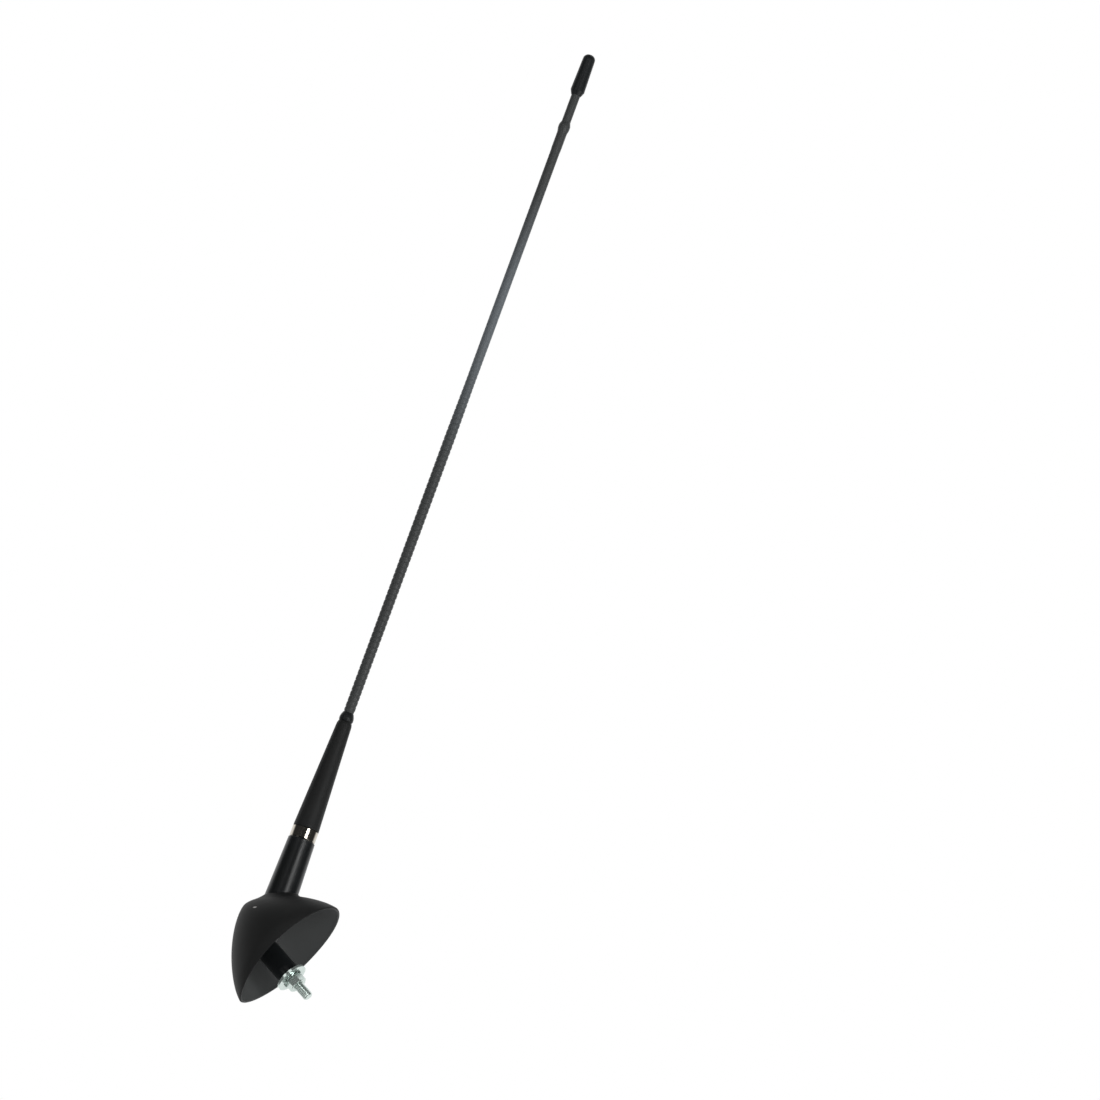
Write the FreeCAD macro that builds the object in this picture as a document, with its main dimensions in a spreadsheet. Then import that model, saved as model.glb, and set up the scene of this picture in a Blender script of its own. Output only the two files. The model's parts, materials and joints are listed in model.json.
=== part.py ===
import FreeCAD, Part
import math
import os
import Sketcher

# Car roof antenna: a hollow boot over an angled foot, and a mast that screws into its neck.
# The frame is the roof's: +Z is the roof's normal, the origin is where the pillar stands on the
# roof, and the mast leans towards +X in the XZ plane. Millimetres and degrees throughout.
# Mast pieces are drawn upright from the elbow, the point where the mast's axis crosses the
# stud's, and are then leaned over by the rake.

SIZES = [
    ("rake", 60.3, "lean of the mast from the roof's normal"),
    ("elbow_z", 21.3, "roof to the elbow"),
    ("pillar_r", 5.6, "pillar inside the boot"),
    ("pillar_edge", 0.4, "chamfer round the pillar's foot"),
    ("neck_len", 53.9, "elbow to the top of the neck"),
    ("neck_top_r", 6.6, "neck under the ring"),
    ("neck_root", 20.0, "elbow to the thickest part of the neck"),
    ("neck_root_r", 7.8, "thickest part of the neck"),
    ("neck_edge", 0.5, "chamfer at the top of the neck"),
    ("mould_gap", 0.02, "gap round what is moulded in, crimped or glued"),
    ("turn_gap", 0.05, "radial clearance of threads and turning fits"),
    ("insert_r", 4.2, "threaded socket in the neck"),
    ("insert_len", 14.0, "length of the socket"),
    ("insert_sink", 0.5, "socket below the top of the neck"),
    ("insert_depth", 12.0, "depth of the socket's thread"),
    ("link_r", 1.25, "conductor from the socket to the stud"),
    ("link_bend", 6.0, "bend of the conductor"),
    ("link_hold", 1.5, "how far the conductor goes into the pieces at its ends"),
    ("stud_r", 2.5, "roof stud"),
    ("stud_out", 13.9, "stud below the pillar"),
    ("stud_in", 2.0, "plain shank inside the pillar"),
    ("stud_edge", 0.6, "chamfer on the stud's end"),
    ("head_r", 4.0, "head of the stud, inside the pillar"),
    ("head_deep", 3.5, "height of that head"),
    ("washer_r", 7.9, "flat washer"),
    ("washer_thick", 1.2, "thickness of the flat washer"),
    ("washer_gap", 0.15, "gap of the washers on the stud"),
    ("tooth_ring_r", 3.9, "body of the toothed washer"),
    ("tooth_r", 5.0, "tips of its teeth"),
    ("tooth_sheet", 0.5, "sheet that it is stamped from"),
    ("tooth_set", 1.0, "height over the twisted teeth"),
    ("tooth_lift", 0.25, "its ring above the lower tips"),
    ("tooth_edge", 0.7, "half the width of a tooth"),
    ("tooth_root", 0.5, "how far a tooth reaches into the ring"),
    ("tooth_count", 10.0, "number of teeth"),
    ("nut_half", 4.0, "half the width across the nut's flats"),
    ("nut_tall", 4.0, "height of the nut"),
    ("nut_rim", 0.1, "flats to the edge of the nut's round face"),
    ("nut_cut", 0.6, "height of the corners' chamfer where it is measured"),
    ("nut_cut_out", 1.0, "flats to where that chamfer is measured"),
    ("ring_r", 6.4, "bright ring between neck and mast"),
    ("ring_tall", 5.5, "height of the ring"),
    ("ring_edge", 0.3, "chamfer of the ring"),
    ("thread_r", 2.5, "mast thread"),
    ("thread_len", 10.0, "length of the mast thread"),
    ("thread_edge", 0.5, "chamfer on the thread's end"),
    ("shank_r", 3.2, "plain shank under the mast thread's head"),
    ("shank_in", 8.0, "how far the shank goes into the ferrule"),
    ("ferrule_r", 4.2, "ferrule inside the mast's base"),
    ("ferrule_len", 14.5, "wide part of the ferrule"),
    ("ferrule_web", 1.5, "floor between the shank's bore and the rod's"),
    ("crimp_r", 2.9, "part of the ferrule crimped on the rod"),
    ("crimp_len", 15.0, "length of that part"),
    ("mast_len", 400.0, "mast from the ring to its tip"),
    ("base_r", 6.33, "tapered base at the ring"),
    ("base_top_r", 3.78, "tapered base at its top"),
    ("base_len", 51.6, "length of the taper"),
    ("base_lip_r", 3.45, "lip above the taper"),
    ("base_lip", 3.5, "length of the lip"),
    ("base_edge", 0.25, "chamfers that leave a fine groove under the collar"),
    ("collar_r", 3.45, "collar at the foot of the whip"),
    ("collar_len", 4.4, "length of the collar"),
    ("collar_slope", 3.1, "length of its upper slope"),
    ("rod_r", 1.4, "glass-fibre core"),
    ("winding_r", 1.65, "outside of the wire wound on the core"),
    ("spigot_r", 2.0, "plain end of the sheath inside the collar"),
    ("crest_low_r", 2.6, "ribs of the sheath in its lower half"),
    ("rib_pitch", 2.75, "from rib to rib"),
    ("rib_deep", 0.2, "depth of the grooves between the ribs"),
    ("rib_stretch", 143.0, "length that has the ribs"),
    ("sheath_slope", 26.0, "length over which the sheath grows slimmer above them"),
    ("sheath_mid_r", 2.3, "sheath above the middle"),
    ("sheath_top_r", 2.4, "sheath below the bead"),
    ("swell_len", 8.0, "length of that thicker stretch"),
    ("sleeve_r", 2.14, "plain sheath above the bead"),
    ("bead_r", 2.82, "bead where the winding ends"),
    ("bead_len", 5.7, "length of the bead"),
    ("bead_drop", 40.5, "tip of the mast to the foot of the bead"),
    ("bead_slope", 2.0, "length of the bead's slopes"),
    ("end_ring_r", 1.95, "ring that holds the winding's end, inside the bead"),
    ("end_ring_in", 1.2, "foot of the bead to that ring"),
    ("end_ring_len", 3.3, "length of that ring"),
    ("cap_len", 21.0, "tip cap"),
    ("cap_r", 3.42, "tip cap above its mouth"),
    ("cap_tip_r", 2.9, "tip cap at its tip"),
    ("cap_mouth_r", 2.45, "mouth of the cap"),
    ("cap_mouth", 2.2, "length of the slope at its mouth"),
    ("cap_round", 2.6, "rounding of its tip"),
    ("cap_grip", 4.0, "how far the sheath goes into the cap"),
    ("cap_wall", 6.0, "solid end of the cap above the core"),
    ("boot_peak_x", 6.4, "highest point of the boot along X"),
    ("boot_base_z", 4.8, "base of the boot's form above the roof seat"),
    ("boot_rise", 37.4, "height of the boot's form"),
    ("boot_back", 33.0, "peak to the end of the boot behind the stud"),
    ("boot_front", 32.5, "peak to the end of the boot under the mast"),
    ("boot_half", 25.8, "half of the boot's width"),
    ("boot_wall", 1.5, "wall of the boot"),
    ("back_bend", 1.45, "exponent of the side profile behind the peak, where 2 is an ellipse"),
    ("front_bend", 1.45, "exponent of the side profile before the peak"),
    ("cross_bend", 1.8, "exponent of the profile across"),
    ("plan_bend", 1.7, "exponent of the narrower end in plan"),
    ("rim_arc_r", 560.0, "arch of the rim"),
    ("rim_arc_x", 24.0, "top of the arch along X"),
    ("rim_top_z", 9.3, "top of the arch above the roof seat"),
    ("grip_gap", 0.05, "gap of the boot on the neck"),
    ("lip_top", 24.6, "elbow to the top of the boot's lip on the neck"),
    ("lip_wall", 0.2, "thickness of the lip at its top"),
    ("lip_reach", 1.5, "how far the lip spreads out where it meets the boot"),
    ("lip_tall", 6.0, "height of the lip"),
    ("lip_inside", 4.5, "inside of the lip's blank, which the neck's passage cuts away"),
    ("lip_bend_out", 0.22, "share of the lip's reach at the middle of its arc"),
    ("lip_bend_up", 0.34, "share of the lip's height at the middle of its arc"),
    ("cut_over", 5.0, "how far a cutter runs past what it cuts"),
]
BOOT_SECTIONS = 8
PLAN_POINTS = 28

doc = FreeCAD.newDocument("roof_antenna")
sheet = doc.addObject("Spreadsheet::Sheet", "Sizes")
aliases = [alias for alias, number, note in SIZES]
for row, (alias, number, note) in enumerate(SIZES, start=1):
    sheet.set("A%d" % row, note)
    sheet.set("B%d" % row, str(number))
    sheet.setAlias("B%d" % row, alias)
doc.recompute()


def value(words):
    # adds up words such as "neck_len - neck_edge", as the sheet has them
    total = 0.0
    sign = 1.0
    for word in words.split():
        if word in ("+", "-"):
            sign = 1.0 if word == "+" else -1.0
        else:
            total += sign * float(sheet.get(word) if word in aliases else word)
    return total


def formula(words):
    # the same words as an expression
    return " ".join("Sizes." + word if word in aliases else word for word in words.split())


def newBody(label):
    body = doc.addObject("PartDesign::Body", label)
    body.Label = label
    return body


def findOrigin(body, role):
    return [item for item in body.Origin.OriginFeatures if item.Role == role][0]


def newSketch(body, name, role="XZ_Plane"):
    sketch = body.newObject("Sketcher::SketchObject", name)
    sketch.AttachmentSupport = [(findOrigin(body, role), "")]
    sketch.MapMode = "FlatFace"
    return sketch


def raiseSketch(sketch, axis, words):
    sketch.setExpression("AttachmentOffset.Base." + axis, "(" + formula(words) + ") * 1 mm")


def leanSketch(sketch):
    # puts the sketch's origin at the elbow and its upright axis along the mast
    turn = FreeCAD.Rotation(FreeCAD.Vector(0, 0, -1), value("rake"))
    sketch.AttachmentOffset = FreeCAD.Placement(FreeCAD.Vector(0, value("elbow_z"), 0), turn)
    raiseSketch(sketch, "y", "elbow_z")
    sketch.setExpression("AttachmentOffset.Rotation.Angle", "Sizes.rake * 1 deg")


def hold(sketch, kind, words, *places):
    # a dimension of the sketch, bound to the sheet
    number = sketch.addConstraint(Sketcher.Constraint(kind, *places, value(words)))
    sketch.setExpression("Constraints[%d]" % number, formula(words))


def drawPolygon(sketch, points):
    # a closed outline: each corner is a pair of sums for its two coordinates
    corners = [FreeCAD.Vector(value(across), value(up), 0) for across, up in points]
    count = len(corners)
    for i in range(count):
        sketch.addGeometry(Part.LineSegment(corners[i], corners[(i + 1) % count]), False)
    for i in range(count):
        sketch.addConstraint(Sketcher.Constraint("Coincident", i, 2, (i + 1) % count, 1))
    for i, (across, up) in enumerate(points):
        for kind, words in (("DistanceX", across), ("DistanceY", up)):
            if words == "0":
                axis = -2 if kind == "DistanceX" else -1
                sketch.addConstraint(Sketcher.Constraint("PointOnObject", i, 1, axis))
            else:
                hold(sketch, kind, words, -1, 1, i, 1)


def spin(body, sketch, kind="PartDesign::Revolution"):
    feature = body.newObject(kind, sketch.Name + "_turn")
    feature.Profile = sketch
    feature.ReferenceAxis = (sketch, ["V_Axis"])
    feature.Angle = 360
    return feature


def turned(label, points):
    # a piece turned about its own upright axis: each point is radius, height
    body = newBody(label)
    sketch = newSketch(body, label + "_profile")
    drawPolygon(sketch, points)
    spin(body, sketch)
    return body


def lean(piece):
    # an upright piece, measured from the elbow, is leaned over with the mast
    turn = FreeCAD.Rotation(FreeCAD.Vector(0, 1, 0), value("rake"))
    piece.Placement = FreeCAD.Placement(FreeCAD.Vector(0, 0, value("elbow_z")), turn)
    piece.setExpression("Placement.Base.z", "Sizes.elbow_z * 1 mm")
    piece.setExpression("Placement.Rotation.Angle", "Sizes.rake * 1 deg")
    return piece


def drawLinkPath(body, name):
    # the conductor's line: up the stud's axis, round the elbow and along the neck's axis
    sketch = newSketch(body, name)
    raiseSketch(sketch, "y", "elbow_z")
    rake = math.radians(value("rake"))
    tangent = value("link_bend") * math.tan(rake / 2)
    low = value("stud_in + head_deep - link_hold - elbow_z")
    reach = value("neck_len - insert_sink - insert_len + link_hold")
    along = FreeCAD.Vector(math.sin(rake), math.cos(rake), 0)
    start = FreeCAD.Vector(0, low, 0)
    end = along * reach
    bendStart = FreeCAD.Vector(0, -tangent, 0)
    bendEnd = along * tangent
    reachWords = "(" + formula("neck_len - insert_sink - insert_len + link_hold") + ")"
    centre = FreeCAD.Vector(value("link_bend"), -tangent, 0)
    circle = Part.Circle(centre, FreeCAD.Vector(0, 0, 1), value("link_bend"))
    sketch.addGeometry(Part.LineSegment(start, bendStart), False)
    sketch.addGeometry(Part.ArcOfCircle(circle, math.pi - rake, math.pi), False)
    sketch.addGeometry(Part.LineSegment(bendEnd, end), False)
    sketch.addConstraint(Sketcher.Constraint("PointOnObject", 0, 1, -2))
    sketch.addConstraint(Sketcher.Constraint("Vertical", 0))
    sketch.addConstraint(Sketcher.Constraint("Tangent", 0, 2, 1, 2))
    sketch.addConstraint(Sketcher.Constraint("Tangent", 1, 1, 2, 1))
    sketch.addConstraint(Sketcher.Constraint("PointOnObject", -1, 1, 2))
    hold(sketch, "DistanceY", "stud_in + head_deep - link_hold - elbow_z", -1, 1, 0, 1)
    hold(sketch, "Radius", "link_bend", 1)
    across = sketch.addConstraint(Sketcher.Constraint("DistanceX", -1, 1, 2, 2, end.x))
    sketch.setExpression("Constraints[%d]" % across, reachWords + " * sin(Sizes.rake * 1 deg)")
    up = sketch.addConstraint(Sketcher.Constraint("DistanceY", -1, 1, 2, 2, end.y))
    sketch.setExpression("Constraints[%d]" % up, reachWords + " * cos(Sizes.rake * 1 deg)")
    return sketch


def sweepLink(body, name, radius, kind):
    path = drawLinkPath(body, name + "_path")
    ring = newSketch(body, name + "_section", "XY_Plane")
    raiseSketch(ring, "z", "stud_in + head_deep - link_hold")
    ring.addGeometry(Part.Circle(FreeCAD.Vector(), FreeCAD.Vector(0, 0, 1), value(radius)), False)
    ring.addConstraint(Sketcher.Constraint("Coincident", 0, 3, -1, 1))
    hold(ring, "Radius", radius, 0)
    sweep = body.newObject(kind, name + "_sweep")
    sweep.Profile = ring
    sweep.Spine = (path, ["Edge1", "Edge2", "Edge3"])
    return sweep


# Foot

def makeFootBody():
    # one moulding: an upright pillar, a ball at the elbow and the leaning neck
    body = newBody("foot_body")
    pillar = newSketch(body, "pillar_profile")
    drawPolygon(pillar, [
        ("0", "0"), ("pillar_r - pillar_edge", "0"), ("pillar_r", "pillar_edge"),
        ("pillar_r", "elbow_z"), ("0", "elbow_z")])
    spin(body, pillar)
    ball = body.newObject("PartDesign::AdditiveSphere", "elbow_ball")
    ball.AttachmentSupport = [(findOrigin(body, "XY_Plane"), "")]
    ball.MapMode = "FlatFace"
    ball.setExpression("Radius", "Sizes.pillar_r * 1 mm")
    raiseSketch(ball, "z", "elbow_z")
    neck = newSketch(body, "neck_profile")
    leanSketch(neck)
    drawPolygon(neck, [
        ("0", "0"), ("pillar_r", "0"), ("neck_root_r", "neck_root"),
        ("neck_top_r", "neck_len - neck_edge"), ("neck_top_r - neck_edge", "neck_len"),
        ("0", "neck_len")])
    spin(body, neck)
    socket = newSketch(body, "socket_bore")
    leanSketch(socket)
    drawPolygon(socket, [
        ("0", "neck_len - insert_sink - insert_len"),
        ("insert_r + mould_gap", "neck_len - insert_sink - insert_len"),
        ("insert_r + mould_gap", "neck_len + cut_over"), ("0", "neck_len + cut_over")])
    spin(body, socket, "PartDesign::Groove")
    stud = newSketch(body, "stud_bore")
    drawPolygon(stud, [
        ("0", "0 - cut_over"), ("stud_r + mould_gap", "0 - cut_over"),
        ("stud_r + mould_gap", "stud_in"),
        ("head_r + mould_gap", "stud_in"), ("head_r + mould_gap", "stud_in + head_deep"),
        ("0", "stud_in + head_deep")])
    spin(body, stud, "PartDesign::Groove")
    sweepLink(body, "link_bore", "link_r + mould_gap", "PartDesign::SubtractivePipe")
    return body


def makeNeckInsert():
    low = "neck_len - insert_sink - insert_len"
    return lean(turned("neck_insert", [
        ("link_r + mould_gap", low), ("insert_r", low), ("insert_r", "neck_len - insert_sink"),
        ("thread_r + turn_gap", "neck_len - insert_sink"),
        ("thread_r + turn_gap", "neck_len - insert_sink - insert_depth"),
        ("link_r + mould_gap", "neck_len - insert_sink - insert_depth")]))


def makeLinkRod():
    body = newBody("link_rod")
    sweepLink(body, "link", "link_r", "PartDesign::AdditivePipe")
    return body


def makeRoofStud():
    top = "stud_in + head_deep"
    return turned("roof_stud", [
        ("0", "0 - stud_out"), ("stud_r - stud_edge", "0 - stud_out"),
        ("stud_r", "stud_edge - stud_out"), ("stud_r", "stud_in"), ("head_r", "stud_in"),
        ("head_r", top), ("link_r + mould_gap", top), ("link_r + mould_gap", top + " - link_hold"),
        ("0", top + " - link_hold")])


def profileAt(share, bend):
    # how far out a profile of that exponent still is at a share of the boot's height
    return (1 - share ** bend) ** (1 / bend)


def bootSection(height, inset):
    # one level outline of the boot: two half ellipses of a kind, joined at the peak's X
    share = height / (value("boot_rise") - inset)
    back = (value("boot_back") - inset) * profileAt(share, value("back_bend"))
    front = (value("boot_front") - inset) * profileAt(share, value("front_bend"))
    half = (value("boot_half") - inset) * profileAt(share, value("cross_bend"))
    points = []
    for i in range(PLAN_POINTS):
        angle = 2 * math.pi * i / PLAN_POINTS
        bend = 2 if math.cos(angle) >= 0 else value("plan_bend")
        along = front if math.cos(angle) >= 0 else back
        x = math.copysign(abs(math.cos(angle)) ** (2 / bend), math.cos(angle)) * along
        y = math.copysign(abs(math.sin(angle)) ** (2 / bend), math.sin(angle)) * half
        points.append(FreeCAD.Vector(value("boot_peak_x") + x, y, value("boot_base_z") + height))
    # every section has its points at the same parameters, so the loft's surface stays light
    steps = [i / PLAN_POINTS for i in range(PLAN_POINTS + 1)]
    outline = Part.BSplineCurve()
    outline.interpolate(Points=points, PeriodicFlag=True, Parameters=steps)
    return Part.Wire([outline.toShape()])


def bootForm(name, inset):
    # a loft through the level outlines, closed by the peak
    rise = value("boot_rise") - inset
    shares = [math.sin(math.pi / 2 * i / BOOT_SECTIONS) for i in range(BOOT_SECTIONS)]
    wires = [bootSection(share * rise, inset) for share in shares]
    peak = FreeCAD.Vector(value("boot_peak_x"), 0, value("boot_base_z") + rise)
    form = doc.addObject("Part::Feature", name)
    form.Shape = Part.makeLoft(wires + [Part.Vertex(peak)], True, False)
    return form


def makeBootLip():
    # the flare that climbs the neck: a concave arc turned about the mast's axis
    inner = value("lip_inside")
    top = value("lip_top")
    low = top - value("lip_tall")
    narrow = neckRadiusAt(top) + value("grip_gap") + value("lip_wall")
    reach = value("lip_reach")
    middle = FreeCAD.Vector(narrow + reach * value("lip_bend_out"), 0,
                            low + value("lip_tall") * value("lip_bend_up"))
    innerLow = FreeCAD.Vector(inner, 0, low)
    outerLow = FreeCAD.Vector(narrow + reach, 0, low)
    outerTop = FreeCAD.Vector(narrow, 0, top)
    innerTop = FreeCAD.Vector(inner, 0, top)
    outline = Part.Wire([
        Part.LineSegment(innerLow, outerLow).toShape(),
        Part.Arc(outerLow, middle, outerTop).toShape(),
        Part.LineSegment(outerTop, innerTop).toShape(),
        Part.LineSegment(innerTop, innerLow).toShape()])
    lip = doc.addObject("Part::Feature", "boot_lip")
    lip.Shape = Part.Face(outline).revolve(FreeCAD.Vector(), FreeCAD.Vector(0, 0, 1), 360)
    return lean(lip)


def neckRadiusAt(height):
    rise = value("neck_len - neck_edge - neck_root")
    return value("neck_root_r") - (height - value("neck_root")) * value("neck_root_r - neck_top_r") / rise


def makeNeckPassage():
    # the boot's opening for the neck: the neck's own outline with a gap
    gap = value("grip_gap")
    root = value("neck_root")
    top = value("neck_len - neck_edge")
    outline = [(0, 0), (value("pillar_r") + gap, 0), (value("neck_root_r") + gap, root),
               (neckRadiusAt(top) + gap, top), (0, top)]
    points = [FreeCAD.Vector(radius, 0, height) for radius, height in outline]
    profile = Part.Face(Part.makePolygon(points + points[:1]))
    passage = doc.addObject("Part::Feature", "neck_passage")
    passage.Shape = profile.revolve(FreeCAD.Vector(), FreeCAD.Vector(0, 0, 1), 360)
    return lean(passage)


def makeRimDrum():
    # a large drum across the boot, which cuts its rim to the arch of the roof
    drum = doc.addObject("Part::Cylinder", "rim_drum")
    turn = FreeCAD.Rotation(FreeCAD.Vector(1, 0, 0), -90)
    drum.Placement = FreeCAD.Placement(FreeCAD.Vector(), turn)
    drum.setExpression("Radius", "Sizes.rim_arc_r * 1 mm")
    drum.setExpression("Height", "2 * (Sizes.boot_half + Sizes.cut_over) * 1 mm")
    drum.setExpression("Placement.Base.x", "Sizes.rim_arc_x * 1 mm")
    drum.setExpression("Placement.Base.y", "-(Sizes.boot_half + Sizes.cut_over) * 1 mm")
    drum.setExpression("Placement.Base.z", "(Sizes.rim_top_z - Sizes.rim_arc_r) * 1 mm")
    return drum


def makeCoverBoot():
    outside = doc.addObject("Part::MultiFuse", "boot_outside")
    outside.Shapes = [bootForm("boot_form", 0.0), makeBootLip()]
    inside = doc.addObject("Part::MultiFuse", "boot_inside")
    inside.Shapes = [bootForm("boot_hollow", value("boot_wall")), makeNeckPassage(), makeRimDrum()]
    boot = doc.addObject("Part::Cut", "cover_boot")
    boot.Base = outside
    boot.Tool = inside
    boot.Label = "cover_boot"
    return boot


# Fasteners under the roof

def makeFlatWasher():
    return turned("flat_washer", [
        ("stud_r + washer_gap", "0 - washer_thick"), ("washer_r", "0 - washer_thick"),
        ("washer_r", "0"), ("stud_r + washer_gap", "0")])


def makeToothedWasher():
    # a flat ring with teeth round it, each twisted so that both its edges bite
    body = newBody("toothed_washer")
    low = "0 - washer_thick - tooth_set"
    ring = newSketch(body, "tooth_ring_profile")
    under = low + " + tooth_lift"
    drawPolygon(ring, [
        ("stud_r + washer_gap", under), ("tooth_ring_r", under),
        ("tooth_ring_r", under + " + tooth_sheet"),
        ("stud_r + washer_gap", under + " + tooth_sheet")])
    spin(body, ring)
    tooth = newSketch(body, "tooth_section", "YZ_Plane")
    raiseSketch(tooth, "z", "tooth_ring_r - tooth_root")
    drawPolygon(tooth, [
        ("0 - tooth_edge", low), ("tooth_edge", low + " + tooth_set - tooth_sheet"),
        ("tooth_edge", "0 - washer_thick"), ("0 - tooth_edge", low + " + tooth_sheet")])
    pad = body.newObject("PartDesign::Pad", "tooth")
    pad.Profile = tooth
    pad.setExpression("Length", "(" + formula("tooth_r - tooth_ring_r + tooth_root") + ") * 1 mm")
    doc.recompute()
    pattern = body.newObject("PartDesign::PolarPattern", "teeth")
    pattern.Originals = [pad]
    pattern.Axis = (findOrigin(body, "Z_Axis"), [""])
    pattern.Angle = 360
    pattern.setExpression("Occurrences", "Sizes.tooth_count")
    body.Tip = pattern
    return body


def makeHexNut():
    body = newBody("hex_nut")
    low = "0 - washer_thick - tooth_set - nut_tall"
    outline = newSketch(body, "nut_outline", "XY_Plane")
    raiseSketch(outline, "z", low)
    radius = value("nut_half") * 2 / math.sqrt(3)
    corners = [FreeCAD.Vector(radius * math.cos(math.radians(60 * i)),
                              radius * math.sin(math.radians(60 * i)), 0) for i in range(6)]
    for i in range(6):
        outline.addGeometry(Part.LineSegment(corners[i], corners[(i + 1) % 6]), False)
    guide = Part.Circle(FreeCAD.Vector(), FreeCAD.Vector(0, 0, 1), radius)
    outline.addGeometry(guide, True)
    for i in range(6):
        outline.addConstraint(Sketcher.Constraint("Coincident", i, 2, (i + 1) % 6, 1))
        outline.addConstraint(Sketcher.Constraint("PointOnObject", i, 1, 6))
    for i in range(5):
        outline.addConstraint(Sketcher.Constraint("Equal", i, i + 1))
    outline.addConstraint(Sketcher.Constraint("Coincident", 6, 3, -1, 1))
    outline.addConstraint(Sketcher.Constraint("PointOnObject", 0, 1, -1))
    size = outline.addConstraint(Sketcher.Constraint("Radius", 6, radius))
    outline.setExpression("Constraints[%d]" % size, "Sizes.nut_half * 2 / sqrt(3)")
    pad = body.newObject("PartDesign::Pad", "nut_blank")
    pad.Profile = outline
    pad.setExpression("Length", "Sizes.nut_tall * 1 mm")
    for name, face, inward in (("lower", low, "+"), ("upper", "0 - washer_thick - tooth_set", "-")):
        corner = newSketch(body, name + "_corner_cut")
        drawPolygon(corner, [
            ("nut_half - nut_rim", face), ("nut_half + nut_cut_out", face),
            ("nut_half + nut_cut_out", face + " " + inward + " nut_cut")])
        spin(body, corner, "PartDesign::Groove")
    bore = newSketch(body, "nut_bore", "XY_Plane")
    raiseSketch(bore, "z", low)
    bore.addGeometry(Part.Circle(FreeCAD.Vector(), FreeCAD.Vector(0, 0, 1),
                                 value("stud_r + turn_gap")), False)
    bore.addConstraint(Sketcher.Constraint("Coincident", 0, 3, -1, 1))
    hold(bore, "Radius", "stud_r + turn_gap", 0)
    pocket = body.newObject("PartDesign::Pocket", "nut_hole")
    pocket.Profile = bore
    pocket.Type = "ThroughAll"
    pocket.Midplane = True
    return body


# Mast

def makeMastRing():
    top = "neck_len + ring_tall"
    return lean(turned("mast_ring", [
        ("shank_r + turn_gap", "neck_len"), ("ring_r - ring_edge", "neck_len"),
        ("ring_r", "neck_len + ring_edge"), ("ring_r", top + " - ring_edge"),
        ("ring_r - ring_edge", top), ("shank_r + turn_gap", top)]))


def makeMastStud():
    end = "neck_len - thread_len"
    top = "neck_len + ring_tall + shank_in"
    return lean(turned("mast_stud", [
        ("0", end), ("thread_r - thread_edge", end), ("thread_r", end + " + thread_edge"),
        ("thread_r", "neck_len"), ("shank_r", "neck_len"), ("shank_r", top), ("0", top)]))


def makeMastFerrule():
    start = "neck_len + ring_tall"
    floor = start + " + shank_in"
    rod = floor + " + ferrule_web"
    wide = start + " + ferrule_len"
    top = wide + " + crimp_len"
    return lean(turned("mast_ferrule", [
        ("shank_r + mould_gap", start), ("ferrule_r", start), ("ferrule_r", wide),
        ("crimp_r", wide), ("crimp_r", top), ("rod_r + mould_gap", top),
        ("rod_r + mould_gap", rod), ("0", rod), ("0", floor), ("shank_r + mould_gap", floor)]))


def makeMastBase():
    start = "neck_len + ring_tall"
    wide = start + " + ferrule_len"
    crimp = wide + " + crimp_len"
    taper = start + " + base_len"
    top = taper + " + base_lip"
    return lean(turned("mast_base", [
        ("ferrule_r + mould_gap", start), ("base_r - base_edge", start),
        ("base_r", start + " + base_edge"), ("base_top_r", taper),
        ("base_lip_r", taper + " + base_edge"), ("base_lip_r", top + " - base_edge"),
        ("base_lip_r - base_edge", top), ("winding_r + mould_gap", top),
        ("winding_r + mould_gap", crimp), ("crimp_r + mould_gap", crimp),
        ("crimp_r + mould_gap", wide), ("ferrule_r + mould_gap", wide)]))


COLLAR_START = "neck_len + ring_tall + base_len + base_lip"
SHEATH_END = "neck_len + ring_tall + mast_len - cap_len + cap_grip"
BEAD_START = "neck_len + ring_tall + mast_len - bead_drop"
END_RING_START = BEAD_START + " + end_ring_in"
END_RING_END = END_RING_START + " + end_ring_len"
MAST_TIP = "neck_len + ring_tall + mast_len"


def makeWhipCollar():
    top = COLLAR_START + " + collar_len"
    return lean(turned("whip_collar", [
        ("spigot_r + mould_gap", COLLAR_START), ("collar_r - base_edge", COLLAR_START),
        ("collar_r", COLLAR_START + " + base_edge"), ("collar_r", top + " - collar_slope"),
        ("crest_low_r", top), ("spigot_r + mould_gap", top)]))


def makeCoreRod():
    foot = "neck_len + ring_tall + shank_in + ferrule_web"
    top = MAST_TIP + " - cap_wall"
    return lean(turned("core_rod", [("0", foot), ("rod_r", foot), ("rod_r", top), ("0", top)]))


def makeWinding():
    foot = "neck_len + ring_tall + ferrule_len + crimp_len"
    return lean(turned("winding", [
        ("rod_r + mould_gap", foot), ("winding_r", foot), ("winding_r", END_RING_START),
        ("rod_r + mould_gap", END_RING_START)]))


def makeEndRing():
    return lean(turned("end_ring", [
        ("rod_r + mould_gap", END_RING_START), ("end_ring_r", END_RING_START),
        ("end_ring_r", END_RING_END), ("rod_r + mould_gap", END_RING_END)]))


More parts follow.
